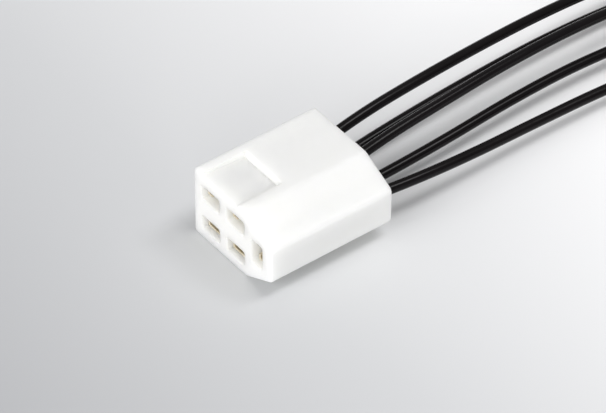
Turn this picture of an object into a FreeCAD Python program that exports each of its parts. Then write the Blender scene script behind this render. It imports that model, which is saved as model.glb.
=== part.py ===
import FreeCAD, Part
import math
import os
import Sketcher
from FreeCAD import Placement, Rotation, Vector

# Five-way wire to board connector housing with its crimp terminals and lead wires.
# One moulded housing holds five folded terminals, each crimped on one insulated wire.
# Frame: origin at the middle of the housing's underside, +Y from the mating face to the
# wires, +Z up, +X towards the side with the single cavity. Millimetres.

# Driving sizes. The housing's own length, width and height follow from what it holds.
# Terminal sizes are in the terminal's own frame: +Y to the wire, +Z to its lance.
SIZES = [
    ("box_width", 3.2, "outside width of a terminal's box"),
    ("box_height", 1.6, "outside height of a terminal's box"),
    ("mouth_side_clearance", 0.15, "each side of the box in its mating mouth"),
    ("lance_room", 0.1, "tip of the lance to the mouth's wall"),
    ("mouth_round", 0.3, "corner radius of a mating mouth"),
    ("mouth_depth", 5.6, "from the mating face to the locking shoulder"),
    ("lead_in", 0.15, "depth of the bevel round a mouth and round a wire entry"),
    ("shoulder_length", 1.4, "length of the narrow throat behind the locking shoulder"),
    ("chamber_side_clearance", 0.3, "each side of the box in its wire chamber"),
    ("chamber_extra_height", 0.225, "wire chamber beyond the mouth, above and below"),
    ("chamber_round", 0.35, "corner radius of a wire chamber"),
    ("left_wall", 1.43, "left side to the first column of wire chambers"),
    ("column_wall", 1.2, "between the chambers of the two columns"),
    ("single_wall", 1.1, "second column's chambers to the single turned chamber"),
    ("right_wall", 1.67, "single chamber to the right side"),
    ("underside_wall", 1.325, "underside to the lower row's chambers"),
    ("row_wall", 2.25, "between the chambers of the two rows"),
    ("top_wall", 1.725, "upper row's chambers to the flat top, which holds the recess"),
    ("wire_cover", 3.85, "wire side of the housing behind the terminals"),
    ("slope_width", 5.2, "width that the sloping shoulders take from the flats"),
    ("slope_drop", 2.62, "height that each sloping shoulder takes from the right side"),
    ("left_edge_round", 0.5, "rounding of the two square long edges"),
    ("slope_edge_round", 1.6, "rounding where a flat meets a sloping shoulder"),
    ("right_edge_round", 0.9, "rounding where a shoulder meets the right side"),
    ("end_edge_round", 0.35, "rounding round the mating face and the wire side"),
    ("recess_width", 7.1, "width of the latch recess in the top"),
    ("recess_length", 6.5, "from the mating face to the recess's back wall"),
    ("recess_front_depth", 0.25, "depth of the recess at the mating face"),
    ("recess_back_depth", 0.85, "depth of the recess at its back wall"),
    ("recess_lip_round", 0.5, "rounding of the top edge of the back wall"),
    ("fit_clearance", 0.1, "all round the terminal's box in its throat"),
    ("crimp_clearance", 0.02, "between a barrel and what it holds"),
    ("strip_thickness", 0.3, "thickness of the terminal's metal strip"),
    ("setback", 0.9, "mating face to the front edge of a terminal"),
    ("seam_gap", 0.08, "gap where the box's folded edges meet"),
    ("lance_width", 1.3, "width of the locking lance"),
    ("lance_length", 2.9, "bend of the lance to its tip"),
    ("lance_gap", 0.1, "lance tip to the locking shoulder"),
    ("lance_rise", 0.3, "how far the lance's tip stands above the box"),
    ("window_side_gap", 0.12, "gap each side of the lance in its window"),
    ("spring_width", 1.9, "width of the contact spring"),
    ("spring_thickness", 0.2, "thickness of the contact spring"),
    ("spring_start", 0.35, "front edge of the box to the spring"),
    ("spring_end", 0.75, "spring to the back edge of the box"),
    ("spring_sag", 0.45, "how far the bow comes down into the box"),
    ("taper_length", 1.2, "box to the conductor barrel"),
    ("taper_front_height", 1.3, "side walls where the taper leaves the box"),
    ("taper_back_height", 0.9, "side walls where the taper meets the conductor barrel"),
    ("conductor_barrel_length", 2.6, "length of the conductor barrel"),
    ("barrel_side_wall", 0.43, "metal beside the strands in the conductor barrel"),
    ("barrel_cover", 0.12, "metal over the strands under the groove"),
    ("groove_depth", 0.26, "depth of the groove between the two curled wings"),
    ("crest_spacing", 0.82, "between the crests of the two curled wings"),
    ("web_length", 1.1, "conductor barrel to insulation barrel"),
    ("web_width", 1.1, "width of the web and of the cut-off tab"),
    ("insulation_barrel_length", 2.2, "length of the insulation barrel"),
    ("barrel_gap_angle", 24.0, "opening between the insulation barrel's wings, degrees"),
    ("tab_length", 0.45, "cut-off tab behind the insulation barrel"),
    ("wire_diameter", 1.4, "over the insulation"),
    ("conductor_diameter", 0.6, "seven strands, laid as one"),
    ("bore_clearance", 0.02, "conductor to the inside of its insulation"),
    ("strip_front", 0.45, "end of the insulation ahead of its barrel"),
    ("conductor_front", 0.25, "end of the conductor ahead of its barrel"),
    ("strip_back", 3.5, "bare conductor at the free end of a wire"),
    ("straight_lead", 2.2, "wire axis straight on behind the insulation barrel"),
]

# Working values with no counterpart on the object
OVERSHOOT = 1.0          # how far a cutting outline stands clear of the face it opens
NEAR = 0.01              # how close a point lies to the place where it is looked for
BEVEL_TAPER = -45.0      # degrees, so a bevel is as wide as it is deep
SWEEP_ERROR = 0.002      # how far a swept bar's volume may be from section times length

doc = FreeCAD.newDocument("wire_to_board_connector")
sheet = doc.addObject("Spreadsheet::Sheet", "Sizes")
for row, (alias, number, note) in enumerate(SIZES, start=1):
    sheet.set("A%d" % row, alias)
    sheet.set("B%d" % row, str(number))
    sheet.set("C%d" % row, note)
    sheet.setAlias("B%d" % row, alias)
doc.recompute()


class Length:
    """A size known as a number and as an expression on the sheet, kept in step."""

    def __init__(self, number, text):
        self.number = number
        self.text = text

    def combine(self, other, sign, result):
        text = other.text if isinstance(other, Length) else repr(float(other))
        return Length(result, "(%s %s %s)" % (self.text, sign, text))

    def __add__(self, other):
        return self.combine(other, "+", self.number + as_number(other))

    def __sub__(self, other):
        return self.combine(other, "-", self.number - as_number(other))

    def __mul__(self, other):
        return self.combine(other, "*", self.number * as_number(other))

    def __truediv__(self, other):
        return self.combine(other, "/", self.number / as_number(other))

    def __neg__(self):
        return Length(-self.number, "(0 - %s)" % self.text)


def as_number(value):
    return value.number if isinstance(value, Length) else float(value)


def size(alias):
    return Length(float(sheet.get(alias)), "Sizes.%s" % alias)


ZERO = Length(0.0, "0")

# Sketch and feature helpers


def new_sketch(body, name, plane, offset, left=ZERO, bottom=ZERO):
    """A sketch on one of the body's own planes, moved along the plane's normal by offset."""
    sketch = body.newObject("Sketcher::SketchObject", name)
    support = [item for item in body.Origin.OriginFeatures if item.Role == plane][0]
    sketch.AttachmentSupport = [(support, "")]
    sketch.MapMode = "FlatFace"
    sketch.AttachmentOffset = Placement(
        Vector(left.number, bottom.number, offset.number), Rotation())
    for axis, value in (("x", left), ("y", bottom), ("z", offset)):
        sketch.setExpression("AttachmentOffset.Base.%s" % axis, value.text)
    return sketch


def bind(sketch, kind, *where, value):
    """Adds a driving dimension whose value comes from the sheet."""
    index = sketch.addConstraint(Sketcher.Constraint(kind, *where, value.number))
    sketch.setExpression("Constraints[%d]" % index, value.text)


def polygon(sketch, points):
    """A closed outline; every corner is dimensioned from the sketch's origin."""
    count = len(points)
    first = sketch.GeometryCount
    for index in range(count):
        start, end = points[index], points[(index + 1) % count]
        sketch.addGeometry(Part.LineSegment(
            Vector(start[0].number, start[1].number, 0),
            Vector(end[0].number, end[1].number, 0)), False)
    for index in range(count):
        this, following = first + index, first + (index + 1) % count
        sketch.addConstraint(Sketcher.Constraint("Coincident", this, 2, following, 1))
        bind(sketch, "DistanceX", -1, 1, this, 1, value=points[index][0])
        bind(sketch, "DistanceY", -1, 1, this, 1, value=points[index][1])


def rectangle(sketch, centre_x, centre_y, width, height):
    """A plain rectangle about a centre."""
    left, right = centre_x - width / 2, centre_x + width / 2
    bottom, top = centre_y - height / 2, centre_y + height / 2
    polygon(sketch, [(left, bottom), (right, bottom), (right, top), (left, top)])


def rounded_rectangle(sketch, centre_x, centre_y, width, height, radius):
    """A rectangle with four equal rounded corners, dimensioned by its sides and corners."""
    left, right = centre_x - width / 2, centre_x + width / 2
    bottom, top = centre_y - height / 2, centre_y + height / 2
    r = radius.number
    x0, x1, y0, y1 = left.number, right.number, bottom.number, top.number
    sides = [
        (Vector(x0 + r, y0, 0), Vector(x1 - r, y0, 0)),
        (Vector(x1, y0 + r, 0), Vector(x1, y1 - r, 0)),
        (Vector(x1 - r, y1, 0), Vector(x0 + r, y1, 0)),
        (Vector(x0, y1 - r, 0), Vector(x0, y0 + r, 0)),
    ]
    centres = [(x1 - r, y0 + r), (x1 - r, y1 - r), (x0 + r, y1 - r), (x0 + r, y0 + r)]
    first = sketch.GeometryCount
    for start, end in sides:
        sketch.addGeometry(Part.LineSegment(start, end), False)
    for index, (x, y) in enumerate(centres):
        circle = Part.Circle(Vector(x, y, 0), Vector(0, 0, 1), r)
        begin = (index - 1) * math.pi / 2
        sketch.addGeometry(Part.ArcOfCircle(circle, begin, begin + math.pi / 2), False)
    for index in range(4):
        side, arc, following = first + index, first + 4 + index, first + (index + 1) % 4
        sketch.addConstraint(Sketcher.Constraint("Tangent", side, 2, arc, 1))
        sketch.addConstraint(Sketcher.Constraint("Tangent", arc, 2, following, 1))
        kind = "Vertical" if index % 2 else "Horizontal"
        sketch.addConstraint(Sketcher.Constraint(kind, side))
        if index:
            sketch.addConstraint(Sketcher.Constraint("Equal", first + 4, arc))
    bind(sketch, "Radius", first + 4, value=radius)
    bind(sketch, "DistanceX", -1, 1, first + 3, 1, value=left)
    bind(sketch, "DistanceX", -1, 1, first + 1, 1, value=right)
    bind(sketch, "DistanceY", -1, 1, first, 1, value=bottom)
    bind(sketch, "DistanceY", -1, 1, first + 2, 1, value=top)


def pad(body, name, sketch, length, reverse=True, both_ways=False):
    """Adds material along the sketch's normal, or against it when reversed."""
    feature = body.newObject("PartDesign::Pad", name)
    feature.Profile = sketch
    feature.Length = length.number
    feature.setExpression("Length", length.text)
    feature.Reversed = reverse
    feature.SideType = "Symmetric" if both_ways else "One side"
    doc.recompute()
    return feature


def pocket(body, name, sketch, length, reverse=False, both_ways=False, taper=0.0):
    """Cuts against the sketch's normal and checks that material really went."""
    before = body.Shape.Volume
    feature = body.newObject("PartDesign::Pocket", name)
    feature.Profile = sketch
    feature.Length = length.number
    feature.setExpression("Length", length.text)
    feature.Reversed = reverse
    feature.SideType = "Symmetric" if both_ways else "One side"
    feature.TaperAngle = taper
    doc.recompute()
    if not body.Shape.Volume < before:
        raise RuntimeError("%s cuts nothing" % name)
    return feature


def fillet(body, name, base, edges, radius):
    """Rounds the named edges or faces of the feature before it."""
    feature = body.newObject("PartDesign::Fillet", name)
    feature.Base = (base, edges)
    feature.Radius = radius.number
    feature.setExpression("Radius", radius.text)
    doc.recompute()
    return feature


# The housing: one moulding

MOUTH_LONG = size("box_width") + size("mouth_side_clearance") * 2
MOUTH_SHORT = (size("box_height") + size("fit_clearance") + size("lance_rise")
               + size("lance_room"))
CHAMBER_LONG = size("box_width") + size("chamber_side_clearance") * 2
CHAMBER_SHORT = MOUTH_SHORT + size("chamber_extra_height") * 2
CHAMBER_START = size("mouth_depth") + size("shoulder_length")

# Columns from the left side and rows from the underside, one wall after another
FIRST_COLUMN = size("left_wall") + CHAMBER_LONG / 2
SECOND_COLUMN = FIRST_COLUMN + CHAMBER_LONG + size("column_wall")
SINGLE_COLUMN = SECOND_COLUMN + CHAMBER_LONG / 2 + size("single_wall") + CHAMBER_SHORT / 2
HOUSING_WIDTH = SINGLE_COLUMN + CHAMBER_SHORT / 2 + size("right_wall")
LOWER_ROW = size("underside_wall") + CHAMBER_SHORT / 2
UPPER_ROW = LOWER_ROW + CHAMBER_SHORT + size("row_wall")
HOUSING_HEIGHT = UPPER_ROW + CHAMBER_SHORT / 2 + size("top_wall")
SINGLE_HEIGHT = HOUSING_HEIGHT / 2

# Stations of a terminal along +Y from its front edge, and the housing's length over it
BOX_LENGTH = CHAMBER_START - size("setback")
LANCE_TIP = size("mouth_depth") - size("setback") - size("lance_gap")
BARREL_START = BOX_LENGTH + size("taper_length")
BARREL_END = BARREL_START + size("conductor_barrel_length")
WINGS_START = BARREL_END + size("web_length")
WINGS_END = WINGS_START + size("insulation_barrel_length")
INSULATION_START = WINGS_START - size("strip_front")
HOUSING_DEPTH = size("setback") + WINGS_END + size("tab_length") + size("wire_cover")
HALF_WIDTH = HOUSING_WIDTH / 2
HALF_DEPTH = HOUSING_DEPTH / 2
TERMINAL_FRONT = size("setback") - HALF_DEPTH

# Circuits 1 to 5 in order: column, row, and the side to which the terminal's lance points.
# The rows face each other and the single cavity lies a quarter turn over.
CAVITIES = [
    (FIRST_COLUMN, UPPER_ROW, "down"),
    (SECOND_COLUMN, UPPER_ROW, "down"),
    (FIRST_COLUMN, LOWER_ROW, "up"),
    (SECOND_COLUMN, LOWER_ROW, "up"),
    (SINGLE_COLUMN, SINGLE_HEIGHT, "left"),
]
LANCE_WAY = {"up": (0, 1), "down": (0, -1), "left": (-1, 0)}

# Levels above the middle of a cavity, in the terminal's own frame
BOX_BASE = size("fit_clearance") - MOUTH_SHORT / 2
BOX_TOP = BOX_BASE + size("box_height")
THROAT_HEIGHT = size("box_height") + size("fit_clearance") * 2
THROAT_WIDTH = size("box_width") + size("fit_clearance") * 2
THROAT_LEVEL = THROAT_HEIGHT / 2 - MOUTH_SHORT / 2
WIRE_RADIUS = size("wire_diameter") / 2
CONDUCTOR_RADIUS = size("conductor_diameter") / 2
WIRE_LEVEL = BOX_BASE + size("strip_thickness") + size("crimp_clearance") + WIRE_RADIUS
BARREL_BORE = CONDUCTOR_RADIUS + size("crimp_clearance")
BARREL_BASE = WIRE_LEVEL - BARREL_BORE - size("strip_thickness")


def beside(centre, way, level):
    """A point that lies level away from a cavity's middle, towards its lance."""
    x, z = centre
    across, upright = LANCE_WAY[way]
    if across:
        x = x + level * across
    if upright:
        z = z + level * upright
    return x, z


def cavity_openings(sketch, long_side, short_side, radius=None, level=ZERO):
    """One opening in each of the five cavities, turned as its terminal is turned."""
    for column, row, way in CAVITIES:
        x, z = beside((column, row), way, level)
        width, height = (short_side, long_side) if way == "left" else (long_side, short_side)
        if radius is None:
            rectangle(sketch, x, z, width, height)
        else:
            rounded_rectangle(sketch, x, z, width, height, radius)


def numbered(kind, items):
    """Each edge or face with the name that a feature knows it by."""
    return [("%s%d" % (kind, index), item) for index, item in enumerate(items, start=1)]


def long_edges(shape, wanted):
    """Names of the straight edges along Y that pass a test on their x and z."""
    names = []
    for name, edge in numbered("Edge", shape.Edges):
        run = edge.Vertexes[-1].Point - edge.Vertexes[0].Point
        middle = edge.CenterOfMass
        if abs(abs(run.y) - edge.Length) < NEAR and wanted(middle.x, middle.z):
            names.append(name)
    return names


def end_faces(shape):
    """Names of the two flat faces that look along -Y and +Y."""
    return [name for name, face in numbered("Face", shape.Faces)
            if abs(abs(face.CenterOfMass.y) - HALF_DEPTH.number) < NEAR]


def make_housing():
    """The housing: one moulding."""
    body = doc.addObject("PartDesign::Body", "housing")
    width, height, drop = HOUSING_WIDTH, HOUSING_HEIGHT, size("slope_drop")
    flat = width - size("slope_width")

    outline = new_sketch(body, "housing_outline", "XZ_Plane", ZERO, -HALF_WIDTH)
    polygon(outline, [(ZERO, ZERO), (flat, ZERO), (width, drop), (width, height - drop),
                      (flat, height), (ZERO, height)])
    block = pad(body, "housing_block", outline, HOUSING_DEPTH, both_ways=True)

    # Long edges first, then the rims of both ends
    left_x, flat_x = -HALF_WIDTH.number, (flat - HALF_WIDTH).number
    left = fillet(body, "left_edges", block,
                  long_edges(block.Shape, lambda x, z: abs(x - left_x) < NEAR),
                  size("left_edge_round"))
    slope = fillet(body, "slope_edges", left,
                   long_edges(left.Shape, lambda x, z: abs(x - flat_x) < NEAR),
                   size("slope_edge_round"))
    right = fillet(body, "right_edges", slope,
                   long_edges(slope.Shape, lambda x, z: abs(x + left_x) < NEAR),
                   size("right_edge_round"))
    fillet(body, "end_rims", right, end_faces(right.Shape), size("end_edge_round"))

    # Latch recess: a wedge, open at the mating face and deepest at its back wall.
    # The sketch's x is the object's y and its y is the object's z.
    recess = new_sketch(body, "recess_profile", "YZ_Plane", flat / 2 - HALF_WIDTH)
    front, back = -HALF_DEPTH, size("recess_length") - HALF_DEPTH
    polygon(recess, [(front - OVERSHOOT, height - size("recess_front_depth")),
                     (front, height - size("recess_front_depth")),
                     (back, height - size("recess_back_depth")),
                     (back, height + OVERSHOOT), (front - OVERSHOOT, height + OVERSHOOT)])
    cut = pocket(body, "latch_recess", recess, size("recess_width"), both_ways=True)
    lip = [name for name, edge in numbered("Edge", cut.Shape.Edges)
           if abs(edge.CenterOfMass.y - back.number) < NEAR
           and abs(edge.CenterOfMass.z - height.number) < NEAR]
    fillet(body, "recess_lip", cut, lip, size("recess_lip_round"))

    # Mating mouths from the front, throats through, wire chambers from the back
    mouths = new_sketch(body, "mouths", "XZ_Plane", HALF_DEPTH, -HALF_WIDTH)
    cavity_openings(mouths, MOUTH_LONG, MOUTH_SHORT, size("mouth_round"))
    pocket(body, "mating_mouths", mouths, size("mouth_depth"))
    throats = new_sketch(body, "throats", "XZ_Plane", HALF_DEPTH, -HALF_WIDTH)
    cavity_openings(throats, THROAT_WIDTH, THROAT_HEIGHT, level=THROAT_LEVEL)
    pocket(body, "terminal_throats", throats, HOUSING_DEPTH)
    chambers = new_sketch(body, "chambers", "XZ_Plane", -HALF_DEPTH, -HALF_WIDTH)
    cavity_openings(chambers, CHAMBER_LONG, CHAMBER_SHORT, size("chamber_round"))
    pocket(body, "wire_chambers", chambers, HOUSING_DEPTH - CHAMBER_START, reverse=True)

    # Bevels that lead the pins and the terminals in
    bevel = size("lead_in")
    entries = new_sketch(body, "mouth_bevels", "XZ_Plane", HALF_DEPTH, -HALF_WIDTH)
    cavity_openings(entries, MOUTH_LONG + bevel * 2, MOUTH_SHORT + bevel * 2,
                    size("mouth_round") + bevel)
    pocket(body, "mouth_lead_in", entries, bevel, taper=BEVEL_TAPER)
    exits = new_sketch(body, "chamber_bevels", "XZ_Plane", -HALF_DEPTH, -HALF_WIDTH)
    cavity_openings(exits, CHAMBER_LONG + bevel * 2, CHAMBER_SHORT + bevel * 2,
                    size("chamber_round") + bevel)
    pocket(body, "chamber_lead_in", exits, bevel, reverse=True, taper=BEVEL_TAPER)
    return body


# How far a part of the terminal reaches into its neighbour, so that they are one strip
LAP = size("strip_thickness") / 4


def make_terminal(number):
    """A terminal, folded and crimped from one strip."""
    body = doc.addObject("PartDesign::Body", "terminal_%d" % number)
    strip, half_box, seam = size("strip_thickness"), size("box_width") / 2, size("seam_gap") / 2

    # Box: the strip is folded round and its edges meet along the middle of the base
    box = new_sketch(body, "box_section_%d" % number, "XZ_Plane", ZERO)
    inside, floor, roof = half_box - strip, BOX_BASE + strip, BOX_TOP - strip
    polygon(box, [(-seam, BOX_BASE), (-seam, floor), (-inside, floor), (-inside, roof),
                  (inside, roof), (inside, floor), (seam, floor), (seam, BOX_BASE),
                  (half_box, BOX_BASE), (half_box, BOX_TOP), (-half_box, BOX_TOP),
                  (-half_box, BOX_BASE)])
    pad(body, "box_%d" % number, box, BOX_LENGTH)

    # Locking lance: a tongue cut from the roof and bent up, its tip towards the wire
    root = LANCE_TIP - size("lance_length")
    half_window = size("lance_width") / 2 + size("window_side_gap")
    window = new_sketch(body, "window_outline_%d" % number, "XZ_Plane", -root)
    polygon(window, [(-half_window, roof), (half_window, roof),
                     (half_window, BOX_TOP + OVERSHOOT), (-half_window, BOX_TOP + OVERSHOOT)])
    pocket(body, "window_%d" % number, window, size("lance_length"), reverse=True)
    lance = new_sketch(body, "lance_profile_%d" % number, "YZ_Plane", ZERO)
    raised = BOX_TOP + size("lance_rise")
    polygon(lance, [(root - LAP, roof), (LANCE_TIP, raised - strip), (LANCE_TIP, raised),
                    (root - LAP, BOX_TOP)])
    pad(body, "lance_%d" % number, lance, size("lance_width"), both_ways=True)

    # Contact spring: a bowed leaf inside the box that presses on the mating pin
    spring = new_sketch(body, "spring_profile_%d" % number, "YZ_Plane", ZERO)
    bowed_leaf(spring, size("spring_start"), BOX_LENGTH - size("spring_start") - size("spring_end"),
               roof + size("spring_thickness") / 2, size("spring_sag"), size("spring_thickness"))
    pad(body, "spring_%d" % number, spring, size("spring_width"), both_ways=True)

    # Taper: an open channel that narrows from the box to the conductor barrel
    half_barrel = BARREL_BORE + size("barrel_side_wall")
    wide = new_sketch(body, "taper_wide_%d" % number, "XZ_Plane", -BOX_LENGTH)
    channel(wide, half_box, BOX_BASE, floor, size("taper_front_height"), strip)
    narrow = new_sketch(body, "taper_narrow_%d" % number, "XZ_Plane", -BARREL_START)
    under_bore = BARREL_BASE + strip - size("crimp_clearance")
    channel(narrow, half_barrel, BARREL_BASE, under_bore, size("taper_back_height"), strip)
    taper = body.newObject("PartDesign::AdditiveLoft", "taper_%d" % number)
    taper.Profile = wide
    taper.Sections = [narrow]
    taper.Ruled = True
    doc.recompute()

    # Conductor barrel: two wings curled down on the strands, with a groove between them
    groove = WIRE_LEVEL + BARREL_BORE + size("barrel_cover")
    crest, half_crests = groove + size("groove_depth"), size("crest_spacing") / 2
    barrel = new_sketch(body, "barrel_section_%d" % number, "XZ_Plane", -BARREL_START)
    polygon(barrel, [(-half_barrel, BARREL_BASE), (half_barrel, BARREL_BASE),
                     (half_barrel, groove), (half_crests, crest), (ZERO, groove),
                     (-half_crests, crest), (-half_barrel, groove)])
    hole(barrel, WIRE_LEVEL, BARREL_BORE)
    pad(body, "conductor_barrel_%d" % number, barrel, size("conductor_barrel_length"))

    # Web that steps down to the insulation barrel and is flat again under the insulation
    under_wire = floor - size("crimp_clearance")
    foot = INSULATION_START - size("fit_clearance")
    cut_end = WINGS_END + size("tab_length")
    step = new_sketch(body, "web_profile_%d" % number, "YZ_Plane", ZERO)
    polygon(step, [(BARREL_END - LAP, BARREL_BASE), (foot - LAP, BOX_BASE), (cut_end, BOX_BASE),
                   (cut_end, under_wire), (foot, under_wire), (BARREL_END, under_bore),
                   (BARREL_END - LAP, under_bore)])
    pad(body, "web_%d" % number, step, size("web_width"), both_ways=True)

    # Insulation barrel: two wings wrapped round the insulation, open at the top
    wings = new_sketch(body, "wings_section_%d" % number, "XZ_Plane", -WINGS_START)
    open_ring(wings, WIRE_LEVEL, WIRE_RADIUS + size("crimp_clearance"), strip,
              size("barrel_gap_angle"))
    pad(body, "insulation_barrel_%d" % number, wings, size("insulation_barrel_length"))
    return body


def hole(sketch, level, radius):
    """A round hole on the sketch's vertical axis."""
    index = sketch.addGeometry(
        Part.Circle(Vector(0, level.number, 0), Vector(0, 0, 1), radius.number), False)
    bind(sketch, "Radius", index, value=radius)
    bind(sketch, "DistanceX", -1, 1, index, 3, value=ZERO)
    bind(sketch, "DistanceY", -1, 1, index, 3, value=level)


def channel(sketch, half_width, base, floor, wall_height, side):
    """The U section of the open strip, from its base up to its floor between two sides."""
    top, inside = base + wall_height, half_width - side
    polygon(sketch, [(-half_width, base), (half_width, base), (half_width, top), (inside, top),
                     (inside, floor), (-inside, floor), (-inside, top), (-half_width, top)])


def bowed_leaf(sketch, start, span, level, sag, thickness):
    """Two arcs on one centre: a strip that leaves level, sags and comes back to it."""
    chord, depth, thick = span.number, sag.number, thickness.number
    radius = (chord * chord / 4 + depth * depth) / (2 * depth)
    centre = Vector(start.number + chord / 2, level.number - depth + radius, 0)
    half_angle = math.asin(chord / 2 / radius)
    down = -math.pi / 2
    ends = []
    for reach in (radius, radius - thick):
        circle = Part.Circle(centre, Vector(0, 0, 1), reach)
        ends.append(Part.ArcOfCircle(circle, down - half_angle, down + half_angle))
    outer = sketch.addGeometry(ends[0], False)
    inner = sketch.addGeometry(ends[1], False)
    first = sketch.addGeometry(Part.LineSegment(ends[0].EndPoint, ends[1].EndPoint), False)
    last = sketch.addGeometry(Part.LineSegment(ends[1].StartPoint, ends[0].StartPoint), False)
    for one, one_end, two, two_end in ((outer, 2, first, 1), (first, 2, inner, 2),
                                       (inner, 1, last, 1), (last, 2, outer, 1),
                                       (outer, 3, inner, 3)):
        sketch.addConstraint(Sketcher.Constraint("Coincident", one, one_end, two, two_end))
    bind(sketch, "DistanceX", -1, 1, outer, 1, value=start)
    bind(sketch, "DistanceX", -1, 1, outer, 2, value=start + span)
    bind(sketch, "DistanceY", -1, 1, outer, 1, value=level)
    bind(sketch, "DistanceY", -1, 1, outer, 2, value=level)
    rise = (span * span / 4 + sag * sag) / (sag * 2)
    bind(sketch, "Radius", outer, value=rise)
    bind(sketch, "Radius", inner, value=rise - thickness)
    sketch.addConstraint(Sketcher.Constraint("PointOnObject", outer, 3, first))
    sketch.addConstraint(Sketcher.Constraint("PointOnObject", outer, 3, last))


def open_ring(sketch, level, inner_radius, thickness, gap_angle):
    """A ring about the wire's axis with a gap at the top."""
    half_gap = math.radians(gap_angle.number / 2)
    centre = Vector(0, level.number, 0)
    begin, end = math.pi / 2 + half_gap, math.pi / 2 - half_gap + 2 * math.pi
    arcs = []
    for radius in (inner_radius, inner_radius + thickness):
        circle = Part.Circle(centre, Vector(0, 0, 1), radius.number)
        arcs.append(Part.ArcOfCircle(circle, begin, end))
    inner = sketch.addGeometry(arcs[0], False)
    outer = sketch.addGeometry(arcs[1], False)
    left = sketch.addGeometry(Part.LineSegment(arcs[0].StartPoint, arcs[1].StartPoint), False)
    right = sketch.addGeometry(Part.LineSegment(arcs[1].EndPoint, arcs[0].EndPoint), False)
    for one, one_end, two, two_end in ((inner, 1, left, 1), (left, 2, outer, 1),
                                       (outer, 2, right, 1), (right, 2, inner, 2),
                                       (inner, 3, outer, 3)):
        sketch.addConstraint(Sketcher.Constraint("Coincident", one, one_end, two, two_end))
    bind(sketch, "Radius", inner, value=inner_radius)
    bind(sketch, "Radius", outer, value=inner_radius + thickness)
    bind(sketch, "DistanceX", -1, 1, inner, 3, value=ZERO)
    bind(sketch, "DistanceY", -1, 1, inner, 3, value=level)
    sketch.addConstraint(Sketcher.Constraint("Vertical", left))
    sketch.addConstraint(Sketcher.Constraint("Vertical", right))


def place_terminal(body, column, row, way):
    """Turns the terminal's lance the right way and seats its box in the throat."""
    turn = {"up": 0.0, "down": 180.0, "left": -90.0}[way]
    place = (column - HALF_WIDTH, TERMINAL_FRONT, row)
    body.Placement = Placement(Vector(*[value.number for value in place]),
                               Rotation(Vector(0, 1, 0), turn))
    for axis, value in zip("xyz", place):
        body.setExpression("Placement.Base.%s" % axis, value.text)


# The wires, circuits 1 to 5. Each route leaves the crimp straight, then follows hand-chosen
# points: sideways from the crimp's axis, behind the housing, and above the surface.
ROUTES = [
    [(-0.6, 5.6, 8.25), (-1.4, 14.6, 8.0), (-2.4, 24.6, 7.4), (-3.5, 35.6, 6.2),
        (-4.3, 46.6, 4.4), (-4.65, 56.6, 2.3), (-4.7, 65.0, 0.78), (-4.6, 73.2, 0.71)],
    [(-0.65, 5.6, 8.15), (-1.85, 14.6, 7.8), (-3.2, 24.6, 7.15), (-4.4, 35.6, 5.9),
        (-4.85, 46.6, 4.2), (-4.9, 56.6, 2.2), (-4.7, 64.7, 0.78), (-4.4, 72.6, 0.71)],
    [(-0.7, 5.6, 3.2), (-1.15, 14.6, 3.6), (-1.75, 24.6, 3.6), (-2.25, 35.6, 3.1),
        (-2.35, 46.6, 2.25), (-2.25, 56.0, 1.25), (-2.0, 63.9, 0.76), (-1.7, 71.7, 0.71)],
    [(-0.05, 5.6, 2.9), (-0.4, 14.6, 3.15), (-1.15, 24.6, 3.05), (-1.55, 35.6, 2.6),
        (-1.0, 46.6, 1.9), (-0.1, 56.2, 1.1), (0.75, 64.1, 0.75), (1.6, 71.9, 0.71)],
    [(0.8, 5.6, 5.07), (0.9, 14.6, 4.7), (0.65, 24.6, 4.1), (0.45, 35.6, 3.25),
        (0.75, 46.6, 2.15), (1.35, 56.4, 1.15), (2.0, 64.4, 0.75), (2.7, 72.3, 0.71)],
]
ARC_SHARE = 0.45         # part of the shorter run beside a corner that its arc takes up


def rounded_path(points, longer_front=0.0, shorter_back=0.0):
    """Straight runs joined by tangent arcs, and the radius of each arc.

    The first run may start further ahead and the last may stop short, with the same arcs."""
    edges, radii = [], []
    here = points[0] - (points[1] - points[0]).normalize() * longer_front
    for index in range(1, len(points) - 1):
        before, corner, after = points[index - 1], points[index], points[index + 1]
        back, ahead = before - corner, after - corner
        reach = ARC_SHARE * min(back.Length, ahead.Length)
        turn = math.pi - back.getAngle(ahead)
        start = corner + back.normalize() * reach
        end = corner + ahead.normalize() * reach
        radius = reach / math.tan(turn / 2)
        radii.append(radius)
        bisector = (back + ahead).normalize()
        middle = corner + bisector * (radius / math.cos(turn / 2) - radius)
        edges.append(Part.LineSegment(here, start).toShape())
        edges.append(Part.Arc(start, middle, end).toShape())
        here = end
    last = points[-1] - (points[-1] - points[-2]).normalize() * shorter_back
    edges.append(Part.LineSegment(here, last).toShape())
    return Part.Wire(edges), radii


def rod(path, start, radius):
    """A round bar of one radius along a path that leaves start along +Y."""
    section = Part.Wire(Part.makeCircle(radius, start, Vector(0, 1, 0)))
    return path.makePipeShell([section], True, False)


def wire_points(cavity, route):
    """The way from the front end of the insulation to the free end of the conductor."""
    column, row, way = cavity
    x, z = beside((column, row), way, WIRE_LEVEL)
    axis_x, axis_z = x.number - HALF_WIDTH.number, z.number
    start = TERMINAL_FRONT + INSULATION_START
    straight_to = TERMINAL_FRONT + WINGS_END + size("straight_lead")
    points = [Vector(axis_x, start.number, axis_z), Vector(axis_x, straight_to.number, axis_z)]
    for sideways, behind, height in route:
        points.append(Vector(axis_x + sideways, HALF_DEPTH.number + behind, height))
    return points


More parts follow.
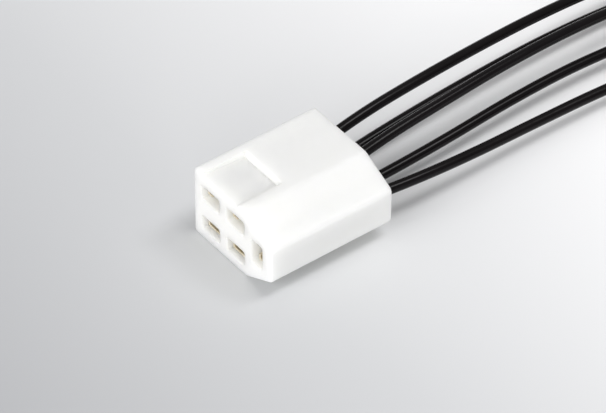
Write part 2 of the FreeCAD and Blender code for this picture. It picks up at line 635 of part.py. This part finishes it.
def make_wire(number, points):
    """The insulation as a bored tube, and the conductor that runs right through it."""
    stripped_front = (size("conductor_barrel_length") + size("conductor_front")
                      + size("web_length") - size("strip_front")).number
    bare, radii = rounded_path(points, longer_front=stripped_front)
    covered, _ = rounded_path(points, shorter_back=size("strip_back").number)
    conductor = rod(bare, points[0] - Vector(0, stripped_front, 0), CONDUCTOR_RADIUS.number)
    outer = rod(covered, points[0], WIRE_RADIUS.number)
    bore = rod(covered, points[0], (CONDUCTOR_RADIUS + size("bore_clearance")).number)
    check_rod("conductor %d" % number, conductor, CONDUCTOR_RADIUS.number, bare)
    check_rod("insulation %d" % number, outer, WIRE_RADIUS.number, covered)
    print("wire %d radii:" % number, ", ".join("%.0f" % radius for radius in radii))
    print("wire %d: insulation %.2f long, conductor %.2f long"
          % (number, covered.Length, bare.Length))
    add_feature("insulation_%d" % number, outer.cut(bore))
    add_feature("conductor_%d" % number, conductor)


def check_rod(name, solid, radius, path):
    """A swept bar's volume is its section times its length, or the sweep has failed."""
    expected = math.pi * radius * radius * path.Length
    share = solid.Volume / expected
    print("%s: volume is %.5f of section times length" % (name, share))
    if abs(share - 1) > SWEEP_ERROR:
        raise RuntimeError("%s was not swept truly" % name)


def add_feature(name, shape):
    feature = doc.addObject("Part::Feature", name)
    feature.Shape = shape
    feature.Placement = Placement()


# Build, check and write

make_housing()
for number, (cavity, route) in enumerate(zip(CAVITIES, ROUTES), start=1):
    place_terminal(make_terminal(number), *cavity)
    make_wire(number, wire_points(cavity, route))
doc.recompute()

pieces = [item for item in doc.Objects
          if item.TypeId in ("PartDesign::Body", "Part::Feature")]
for item in doc.Objects:
    if "Invalid" in item.State or "Error" in item.State:
        raise RuntimeError("%s failed: %s" % (item.Label, item.getStatusString()))
for item in pieces:
    if item.Shape.isNull() or not item.Shape.isValid() or len(item.Shape.Solids) != 1:
        raise RuntimeError("%s is not one sound solid" % item.Label)

os.makedirs("parts", exist_ok=True)
for item in pieces:
    item.Shape.exportStep("parts/%s.step" % item.Label)
    box = item.Shape.optimalBoundingBox(False, False)
    print("%-14s %8.2f mm3  x %.2f..%.2f  y %.2f..%.2f  z %.2f..%.2f" % (
        item.Label, item.Shape.Volume, box.XMin, box.XMax, box.YMin, box.YMax,
        box.ZMin, box.ZMax))
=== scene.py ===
# %% [markdown]
# A five-way wire to board connector: one white nylon moulding with five cavities, a folded
# brass terminal in each, and a black wire crimped on each terminal.
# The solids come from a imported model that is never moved. Their walls, folds and roundings are
# already there, so they aren't modelled again. This lesson gives each of them its real finish,
# replaces the wires with smooth ones, and sets up the camera and the light.

# %% Load the fixed model
import math

import bpy
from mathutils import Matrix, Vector


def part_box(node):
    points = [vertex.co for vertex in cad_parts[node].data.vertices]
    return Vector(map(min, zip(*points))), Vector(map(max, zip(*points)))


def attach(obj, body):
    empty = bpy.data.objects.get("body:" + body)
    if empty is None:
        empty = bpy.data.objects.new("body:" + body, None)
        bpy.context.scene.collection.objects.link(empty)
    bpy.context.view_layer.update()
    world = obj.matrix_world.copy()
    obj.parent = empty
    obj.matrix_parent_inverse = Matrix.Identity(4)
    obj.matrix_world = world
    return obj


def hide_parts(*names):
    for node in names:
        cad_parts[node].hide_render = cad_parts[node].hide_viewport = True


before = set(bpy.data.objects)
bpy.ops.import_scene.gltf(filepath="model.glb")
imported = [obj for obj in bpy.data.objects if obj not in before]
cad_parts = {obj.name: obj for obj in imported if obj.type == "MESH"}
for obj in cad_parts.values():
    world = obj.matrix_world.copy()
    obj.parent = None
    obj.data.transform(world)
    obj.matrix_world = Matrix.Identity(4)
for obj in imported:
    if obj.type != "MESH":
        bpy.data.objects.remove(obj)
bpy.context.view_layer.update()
MM = 0.001

# %% [markdown]
# The photograph was taken from high on the right with a long lens, so that parallel edges
# stay nearly parallel. A camera can be turned by hand until its view fits, but it is easiest to
# repeat when it is described as a photographer would: what it is aimed at, from which side, how
# high, how far off, and with which lens.

# %% Camera
FRAME_WIDTH_PX = 606
FOCAL_LENGTH_PX = 5000.0
AIM = Vector((1.37, 0.45, 5.2)) * MM
AZIMUTH, ELEVATION = math.radians(52.66), math.radians(42.33)
DISTANCE = 605.3 * MM
NEAREST_SEEN, FARTHEST_SEEN = 1 * MM, 10.0


def make_camera():
    """A camera that looks at the aim from the photographer's side."""
    data = bpy.data.cameras.new("camera")
    data.lens = data.sensor_width * FOCAL_LENGTH_PX / FRAME_WIDTH_PX
    data.clip_start, data.clip_end = NEAREST_SEEN, FARTHEST_SEEN
    camera = bpy.data.objects.new("camera", data)
    bpy.context.scene.collection.objects.link(camera)
    towards_camera = Vector((math.sin(AZIMUTH) * math.cos(ELEVATION),
                             -math.cos(AZIMUTH) * math.cos(ELEVATION), math.sin(ELEVATION)))
    camera.location = AIM + towards_camera * DISTANCE
    camera.rotation_mode = "QUATERNION"
    camera.rotation_quaternion = towards_camera.to_track_quat("Z", "Y")
    return camera


bpy.context.scene.camera = make_camera()
print("camera: %.0f mm lens, %.0f mm off" % (bpy.context.scene.camera.data.lens, DISTANCE / MM))

# %% [markdown]
# A material is a small network of nodes. It can be drawn in the shader editor, but a written
# one is easier to read and to repeat. A few helpers keep the networks short: they turn an sRGB
# hex colour, as a colour picker shows it, into the linear values that a shader needs, work out
# how often a pattern of a real size repeats, and add a node with its settings and its links.

# %% Colours and nodes
def colour(hex_code):
    """Linear RGBA from an sRGB hex colour."""
    channels = [int(hex_code[start:start + 2], 16) / 255 for start in (1, 3, 5)]
    linear = [c / 12.92 if c <= 0.04045 else ((c + 0.055) / 1.055) ** 2.4 for c in channels]
    return (*linear, 1.0)


def per_metre(width, length=None):
    """Repeats along X, Y and Z of a pattern this wide and, if it is drawn out, this long on Y."""
    return (1 / width, 1 / (length or width), 1 / width)


def set_up(material, node, links=None, inputs=None):
    """Links sources to some of a node's inputs and sets plain values on others."""
    for name, source in (links or {}).items():
        material.node_tree.links.new(source, node.inputs[name])
    for name, value in (inputs or {}).items():
        node.inputs[name].default_value = value


def add_node(material, kind, links=None, inputs=None, stops=()):
    """A node with its links, its plain values and, on a ramp, its (position, colour) stops."""
    node = material.node_tree.nodes.new(kind)
    set_up(material, node, links, inputs)
    if stops:
        elements = node.color_ramp.elements
        elements[0].position, elements[0].color = stops[0]
        elements[1].position, elements[1].color = stops[-1]
        for position, rgba in stops[1:-1]:
            elements.new(position).color = rgba
    return node


def new_material(name):
    """An empty material with its shader and its Object coordinates in metres."""
    material = bpy.data.materials.new(name)
    material.use_nodes = True
    shader = material.node_tree.nodes["Principled BSDF"]
    place = add_node(material, "ShaderNodeTexCoord").outputs["Object"]
    return material, shader, place


print("the middle grey #808080 is %.3f in linear values" % colour("#808080")[0])

# %% [markdown]
# The housing is natural nylon 66, injection moulded: milky white, a little see-through at thin
# edges, with the faint satin of a spark-eroded mould. Plain white paint would leave its recesses
# dark and hard. Light that enters real nylon comes out again a few millimetres away, so
# subsurface scattering softens the edges and lights the recesses.

# %% Material: moulded nylon
FLOW_WIDTH, FLOW_LENGTH = 11.1 * MM, 22.2 * MM
GRAIN_SIZE = 0.12 * MM           # a pixel of the picture: the real grain is too fine to show


def moulded_nylon():
    material, shader, place = new_material("moulded natural nylon")
    flow_place = add_node(material, "ShaderNodeMapping", {"Vector": place},
                          {"Scale": per_metre(FLOW_WIDTH, FLOW_LENGTH)})
    flow = add_node(material, "ShaderNodeTexNoise", {"Vector": flow_place.outputs["Vector"]},
                    {"Scale": 1.0, "Detail": 3.0, "Roughness": 0.5})
    tint = add_node(material, "ShaderNodeValToRGB", {"Fac": flow.outputs["Fac"]},
                    stops=[(0.3, colour("#F4F4EE")), (0.7, colour("#F7F7F2"))])
    grain_place = add_node(material, "ShaderNodeMapping", {"Vector": place},
                           {"Scale": per_metre(GRAIN_SIZE)})
    grain = add_node(material, "ShaderNodeTexNoise", {"Vector": grain_place.outputs["Vector"]},
                     {"Scale": 1.0, "Detail": 2.0, "Roughness": 0.6})
    satin = add_node(material, "ShaderNodeMapRange", {"Value": grain.outputs["Fac"]},
                     {"To Min": 0.50, "To Max": 0.64})
    bump = add_node(material, "ShaderNodeBump", {"Height": grain.outputs["Fac"]},
                    {"Strength": 0.25, "Distance": 0.01 * MM})
    set_up(material, shader,
           {"Base Color": tint.outputs["Color"], "Roughness": satin.outputs["Result"],
            "Normal": bump.outputs["Normal"]},
           {"IOR": 1.53, "Specular IOR Level": 0.2, "Subsurface Weight": 1.0,
            "Subsurface Radius": (1.0, 1.0, 0.95), "Subsurface Scale": 4.0 * MM})
    return material


# %% [markdown]
# The terminals are folded from rolled brass strip. Rolling leaves fine lines along the strip,
# which is along Y here, and handling leaves slightly duller patches. A flash of tin makes the
# strip pale and dull, as the metal in the mouths of the photograph is. A picture of scratched
# metal would have to be unfolded to fit, while noise that is drawn out along Y in the object's
# own space runs on through every fold.

# %% Material: rolled brass
LINE_WIDTH, LINE_LENGTH = 0.06 * MM, 2.5 * MM
PATCH_SIZE = 1.6 * MM


def rolled_brass():
    material, shader, place = new_material("rolled brass strip")
    line_place = add_node(material, "ShaderNodeMapping", {"Vector": place},
                          {"Scale": per_metre(LINE_WIDTH, LINE_LENGTH)})
    lines = add_node(material, "ShaderNodeTexNoise", {"Vector": line_place.outputs["Vector"]},
                     {"Scale": 1.0, "Detail": 2.0, "Roughness": 0.6})
    patch_place = add_node(material, "ShaderNodeMapping", {"Vector": place},
                           {"Scale": per_metre(PATCH_SIZE)})
    patches = add_node(material, "ShaderNodeTexNoise", {"Vector": patch_place.outputs["Vector"]},
                       {"Scale": 1.0, "Detail": 2.0, "Roughness": 0.5})
    tint = add_node(material, "ShaderNodeValToRGB", {"Fac": patches.outputs["Fac"]},
                    stops=[(0.3, colour("#E4DAC2")), (0.7, colour("#F1E9D6"))])
    polish = add_node(material, "ShaderNodeMapRange", {"Value": lines.outputs["Fac"]},
                      {"To Min": 0.42, "To Max": 0.60})
    bump = add_node(material, "ShaderNodeBump", {"Height": lines.outputs["Fac"]},
                    {"Strength": 0.3, "Distance": 0.005 * MM})
    set_up(material, shader,
           {"Base Color": tint.outputs["Color"], "Roughness": polish.outputs["Result"],
            "Normal": bump.outputs["Normal"]},
           {"Metallic": 1.0})
    return material


# %% [markdown]
# The wire's insulation is black vinyl, drawn out of a die round the strands. One flat black
# would look like a gap in the picture. The real skin is smooth but for faint waves along its
# length, and shows one thin highlight under a lamp behind it, so one long noise moves its
# colour, its gloss and its height a little.

# %% Material: extruded vinyl
WAVE_WIDTH, WAVE_LENGTH = 0.5 * MM, 5.0 * MM


def extruded_vinyl():
    material, shader, place = new_material("extruded black vinyl")
    wave_place = add_node(material, "ShaderNodeMapping", {"Vector": place},
                          {"Scale": per_metre(WAVE_WIDTH, WAVE_LENGTH)})
    waves = add_node(material, "ShaderNodeTexNoise", {"Vector": wave_place.outputs["Vector"]},
                     {"Scale": 1.0, "Detail": 3.0, "Roughness": 0.5})
    tint = add_node(material, "ShaderNodeValToRGB", {"Fac": waves.outputs["Fac"]},
                    stops=[(0.3, colour("#080506")), (0.7, colour("#0D090B"))])
    skin = add_node(material, "ShaderNodeMapRange", {"Value": waves.outputs["Fac"]},
                    {"To Min": 0.16, "To Max": 0.24})
    bump = add_node(material, "ShaderNodeBump", {"Height": waves.outputs["Fac"]},
                    {"Strength": 0.2, "Distance": 0.01 * MM})
    set_up(material, shader,
           {"Base Color": tint.outputs["Color"], "Roughness": skin.outputs["Result"],
            "Normal": bump.outputs["Normal"]},
           {"IOR": 1.5, "Specular IOR Level": 0.15})
    return material


# %% [markdown]
# The strands inside each wire are soft copper, drawn to a fifth of a millimetre. Bare copper
# dulls unevenly in the air. One even colour would look painted, so one noise moves both the
# colour, between fresh and darker metal, and the gloss.

# %% Material: drawn copper
TARNISH_SIZE = 0.4 * MM


def drawn_copper():
    material, shader, place = new_material("drawn copper")
    tarnish_place = add_node(material, "ShaderNodeMapping", {"Vector": place},
                             {"Scale": per_metre(TARNISH_SIZE)})
    tarnish = add_node(material, "ShaderNodeTexNoise",
                       {"Vector": tarnish_place.outputs["Vector"]},
                       {"Scale": 1.0, "Detail": 3.0, "Roughness": 0.6})
    tint = add_node(material, "ShaderNodeValToRGB", {"Fac": tarnish.outputs["Fac"]},
                    stops=[(0.3, colour("#A9603F")), (0.7, colour("#D08A63"))])
    dull = add_node(material, "ShaderNodeMapRange", {"Value": tarnish.outputs["Fac"]},
                    {"To Min": 0.25, "To Max": 0.45})
    set_up(material, shader,
           {"Base Color": tint.outputs["Color"], "Roughness": dull.outputs["Result"]},
           {"Metallic": 1.0})
    return material


# %% [markdown]
# Every piece could have a finish of its own, but then a change would have to be made on each of
# them. So each finish is made once, and the pieces made of the same stuff share it.

# %% Make the four finishes
nylon, brass, vinyl, copper = moulded_nylon(), rolled_brass(), extruded_vinyl(), drawn_copper()
for finish in (nylon, brass, vinyl, copper):
    print("%s: %d nodes" % (finish.name, len(finish.node_tree.nodes)))

# %% [markdown]
# Each wire leaves its crimp straight, bows gently, and comes down to the surface by its own
# weight. Its fall could be simulated, but then it wouldn't lie where it does in the photograph,
# so its route is a short list of points. The points started as the solid wire's
# own route and were then moved by up to two millimetres, until the wire and its shadow fell
# where the photograph shows them.

# %% Wire routes
HOUSING_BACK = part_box("housing")[1].y
INSULATION_START = 2.25 * MM     # where the insulation starts, in its crimp
STRAIGHT_TO = 7.1 * MM           # where a wire may first bend
CRIMP_AXES = {1: (-4.445, 7.33), 2: (0.555, 7.33), 3: (-4.445, 2.67), 4: (0.555, 2.67),
              5: (4.76, 5.2)}

# Sideways from the crimp's axis, behind the housing, and above the surface, in millimetres
ROUTES = {
    1: [(-0.6, 5.6, 8.3), (-1.45, 14.6, 8.15), (-2.5, 24.6, 7.5), (-3.6, 35.6, 6.45),
        (-4.5, 46.6, 4.9), (-4.7, 56.6, 2.6), (-4.6, 65.0, 0.85), (-4.5, 73.15, 0.71)],
    2: [(-0.55, 5.6, 8.25), (-1.25, 14.6, 8.35), (-2.2, 24.6, 8.2), (-3.1, 35.6, 7.45),
        (-4.0, 46.6, 5.8), (-4.6, 56.6, 3.0), (-4.7, 64.7, 0.85), (-4.4, 72.6, 0.71)],
    3: [(-0.7, 5.6, 3.2), (-1.15, 14.6, 3.6), (-1.75, 24.6, 3.6), (-2.35, 35.6, 3.25),
        (-2.5, 46.6, 2.55), (-2.3, 56.0, 1.4), (-2.0, 63.9, 0.76), (-1.7, 71.7, 0.71)],
    4: [(0.1, 5.6, 2.9), (0.0, 14.6, 3.3), (-0.65, 24.6, 3.5), (-1.0, 35.6, 3.35),
        (-0.7, 46.6, 2.6), (0.0, 56.2, 1.3), (0.75, 64.1, 0.76), (1.6, 71.9, 0.71)],
    5: [(0.8, 5.6, 4.95), (0.65, 14.6, 4.1), (0.2, 24.6, 3.35), (0.2, 35.6, 2.95),
        (0.7, 46.6, 2.2), (1.35, 56.4, 1.2), (2.0, 64.4, 0.75), (2.7, 72.3, 0.71)],
}


def route_points(number):
    """The whole route of one wire, from the start of its insulation to its free end."""
    axis_x, axis_z = (value * MM for value in CRIMP_AXES[number])
    points = [Vector((axis_x, INSULATION_START, axis_z)), Vector((axis_x, STRAIGHT_TO, axis_z))]
    for sideways, behind, height in ROUTES[number]:
        points.append(Vector((axis_x + sideways * MM, HOUSING_BACK + behind * MM, height * MM)))
    return points


for number in ROUTES:
    print("wire %d is guided by %d points" % (number, len(route_points(number))))

# %% [markdown]
# A tube could be extruded ring by ring, but its bends would need a great many rings. A NURBS
# curve of order 3 is smooth everywhere and only cuts inside its corners, so a few control
# points are enough, and Blender sweeps a circle along it. While the curve is still thin it
# turns into a line of points, which gives its length and the middle of its strands.

# %% Smooth curves
CURVE_ORDER = 3
CURVE_STEPS = 16                 # stretches that Blender draws between two control points


def smooth_curve(name, points):
    """A thin NURBS curve whose control points are the route's points."""
    data = bpy.data.curves.new(name, "CURVE")
    data.dimensions = "3D"
    spline = data.splines.new("NURBS")
    spline.points.add(len(points) - 1)
    for control, place in zip(spline.points, points):
        control.co = (*place, 1.0)
    spline.order_u = CURVE_ORDER
    spline.use_endpoint_u = True
    spline.resolution_u = CURVE_STEPS
    curve = bpy.data.objects.new(name, data)
    bpy.context.scene.collection.objects.link(curve)
    return curve


def make_round(data, diameter, rounding):
    """Sweeps a circle along a curve and closes its ends."""
    data.bevel_depth = diameter / 2
    data.bevel_resolution = rounding
    data.use_fill_caps = True


def line_of(curve):
    """Points along a curve that has no thickness, as Blender evaluates it."""
    evaluated = curve.evaluated_get(bpy.context.evaluated_depsgraph_get())
    mesh = bpy.data.meshes.new_from_object(evaluated)
    places = [vertex.co.copy() for vertex in mesh.vertices]
    bpy.data.meshes.remove(mesh)
    return places


def length_of(places):
    return sum((after - before).length for before, after in zip(places, places[1:]))


# %% [markdown]
# Seven strands lie in each wire, six twisted round one. A plain rod would do inside the
# insulation, but the strands show where it is stripped, at the free end, and dimly in the
# crimp. Each strand is a thin round curve that winds round the wire's own line, and all seven
# are one piece.

# %% Strands
STRAND_DIAMETER = 0.2 * MM
STRANDS_AROUND = 6
TWIST_LENGTH = 7.0 * MM          # one full turn of the strands round the middle one
STRAND_STEP = 0.45 * MM
STRAND_ROUNDING = 1              # 6 sides round each, which is enough for so thin a strand


def evenly(places, step):
    """Points a step apart on a line, each with the line's direction and its distance there."""
    lengths = [(after - before).length for before, after in zip(places, places[1:])]
    total = sum(lengths)
    count = round(total / step)
    even, walked, segment = [], 0.0, 0
    for index in range(count + 1):
        distance = total * index / count
        while segment < len(lengths) - 1 and walked + lengths[segment] < distance:
            walked += lengths[segment]
            segment += 1
        along = (places[segment + 1] - places[segment]).normalized()
        even.append((places[segment] + along * (distance - walked), along, distance))
    return even


def wound(centre, along, turn, away):
    """A point this far away from a line, turned round it by this angle."""
    sideways = along.cross(Vector((0, 0, 1))).normalized()
    upwards = sideways.cross(along)
    return centre + (sideways * math.cos(turn) + upwards * math.sin(turn)) * away


def only_select(thing):
    """Deselects everything, then selects and activates one object."""
    bpy.ops.object.select_all(action="DESELECT")
    thing.select_set(True)
    bpy.context.view_layer.objects.active = thing


def make_strands(number, points):
    """The seven strands of one wire as a single mesh piece."""
    guide = smooth_curve("guide_%d" % number, points)
    places = evenly(line_of(guide), STRAND_STEP)
    bpy.data.objects.remove(guide)
    data = bpy.data.curves.new("conductor_strands_%d" % number, "CURVE")
    data.dimensions = "3D"
    make_round(data, STRAND_DIAMETER, STRAND_ROUNDING)
    for strand in range(STRANDS_AROUND + 1):
        away = STRAND_DIAMETER if strand < STRANDS_AROUND else 0.0
        spline = data.splines.new("POLY")
        spline.points.add(len(places) - 1)
        for control, (centre, along, distance) in zip(spline.points, places):
            turn = math.tau * (strand / STRANDS_AROUND + distance / TWIST_LENGTH)
            control.co = (*wound(centre, along, turn, away), 1.0)
    piece = bpy.data.objects.new("conductor_strands_%d" % number, data)
    bpy.context.scene.collection.objects.link(piece)
    only_select(piece)
    bpy.ops.object.convert(target="MESH")
    bpy.ops.object.shade_smooth()
    return bpy.context.active_object


# %% [markdown]
# A wire is its insulation with the strands inside, cut square and stripped at both ends. The
# solid wires could be kept, but they are straight runs joined by arcs, while a real wire bends
# evenly all the way. So a smooth pair takes the place of the two solids of each circuit.

# %% Wires
WIRE_DIAMETER = 1.4 * MM
WIRE_ROUNDING = 6                # 16 sides round it: four, and two more for each step
STRIPPED_FRONT = 3.5 * MM        # conductor ahead of the insulation, in its crimp
STRIPPED_BACK = 3.5 * MM         # bare conductor at the free end


def dress(thing, material):
    """Puts one material on an object in place of what it had."""
    thing.data.materials.clear()
    thing.data.materials.append(material)


def make_wire(number):
    """One insulated wire with its strands."""
    points = route_points(number)
    last_run = (points[-1] - points[-2]).normalized()
    cut_end = points[-1] - last_run * STRIPPED_BACK
    insulation = smooth_curve("wire_%d" % number, points[:-1] + [cut_end])
    real_length = length_of(line_of(insulation))
    make_round(insulation.data, WIRE_DIAMETER, WIRE_ROUNDING)
    dress(insulation, vinyl)

    strands = make_strands(number, [points[0] - Vector((0, STRIPPED_FRONT, 0))] + points)
    dress(strands, copper)
    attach(insulation, "root")
    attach(strands, "root")
    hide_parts("insulation_%d" % number)
    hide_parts("conductor_%d" % number)
    print("wire %d: %.1f mm of insulation, %d triangles of strands" % (
        number, real_length / MM, sum(len(face.vertices) - 2 for face in strands.data.polygons)))


for number in ROUTES:
    make_wire(number)

# %% [markdown]
# The housing and the terminals keep their solid shapes. Their edges could be bevelled again,
# but every rounding and fold is already there, so they only need their finishes.

# %% Housing and terminals
dress(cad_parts["housing"], nylon)
for number in ROUTES:
    dress(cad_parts["terminal_%d" % number], brass)
print("the housing and %d terminals have their finishes" % len(ROUTES))

# %% [markdown]
# The connector lies on a plain pale sheet. Its colour is painted lighter towards the wires, as a
# painted light falloff: a lamp could make it lighter there, but it would light the connector
# too. The sheet is wide enough to fill the view from every side.

# %% Floor
FLOOR_SIZE = 6.0
# the spread of the painted light falloff along Y
PAINTED_FALLOFF_SPREAD = 60 * MM               # the colours are spread over this on each side of the middle


def floor_with_painted_falloff():
    material, shader, place = new_material("pale matt paper with painted light falloff")
    axes = add_node(material, "ShaderNodeSeparateXYZ", {"Vector": place})
    along = add_node(material, "ShaderNodeMapRange", {"Value": axes.outputs["Y"]},
                     {"From Min": -PAINTED_FALLOFF_SPREAD, "From Max": PAINTED_FALLOFF_SPREAD})
    # Painted light: the colour runs from darker at -Y to lighter at +Y and stands in for a light
    # falloff
    painted_falloff = add_node(material, "ShaderNodeValToRGB", {"Fac": along.outputs["Result"]},
                    stops=[(0.0, colour("#A9AAAD")), (0.45, colour("#D0D1D3")),
                           (0.90, colour("#FCFCFD"))])
    set_up(material, shader, {"Base Color": painted_falloff.outputs["Color"]},
           {"Roughness": 0.9, "Specular IOR Level": 0.1})
    bpy.ops.object.select_all(action="DESELECT")
    bpy.ops.mesh.primitive_plane_add(size=FLOOR_SIZE, location=(0, 0, 0))
    floor = bpy.context.active_object
    floor.name = "floor"
    dress(floor, material)


floor_with_painted_falloff()
print("floor: a sheet %.0f m square" % FLOOR_SIZE)

# %% [markdown]
# One large lamp would light the connector well, but the wires' shadows would be too soft. Two
# small ones high on the right cast narrow shadows, and the rear one also draws the thin
# highlight along the wires. Three in front fill the faces that the camera sees, and a pale
# world lights all the rest.

# %% Lamps and world
SOFTBOXES = {                    # place and side in metres, and power in watts
    "overhead softbox": ((0.18, 0.08, 0.68), 0.20, 0.85),
    "rear softbox": ((0.16, 0.31, 0.61), 0.22, 1.05),
    "front softbox": ((0.10, -0.60, 0.40), 0.40, 1.95),
    "low front softbox": ((0.12, -0.67, 0.14), 0.20, 1.00),
    "camera side softbox": ((0.46, -0.46, 0.20), 0.30, 1.20),
}


def softbox(name, place, side, power):
    """A square lamp that faces the frame's origin."""
    data = bpy.data.lights.new(name, "AREA")
    data.shape = "SQUARE"
    data.size = side
    data.energy = power
    lamp = bpy.data.objects.new(name, data)
    lamp.location = place
    lamp.rotation_mode = "QUATERNION"
    lamp.rotation_quaternion = (-Vector(place)).to_track_quat("-Z", "Y")
    bpy.context.scene.collection.objects.link(lamp)


def pale_world(strength):
    world = bpy.data.worlds.new("pale studio")
    world.use_nodes = True
    background = world.node_tree.nodes["Background"]
    background.inputs["Color"].default_value = colour("#F6F6F6")
    background.inputs["Strength"].default_value = strength
    bpy.context.scene.world = world


for name, (place, side, power) in SOFTBOXES.items():
    softbox(name, place, side, power)
    print("%s: %.2f m wide, %.2f W" % (name, side, power))
pale_world(strength=0.49)
bpy.context.scene.view_settings.view_transform = "Standard"
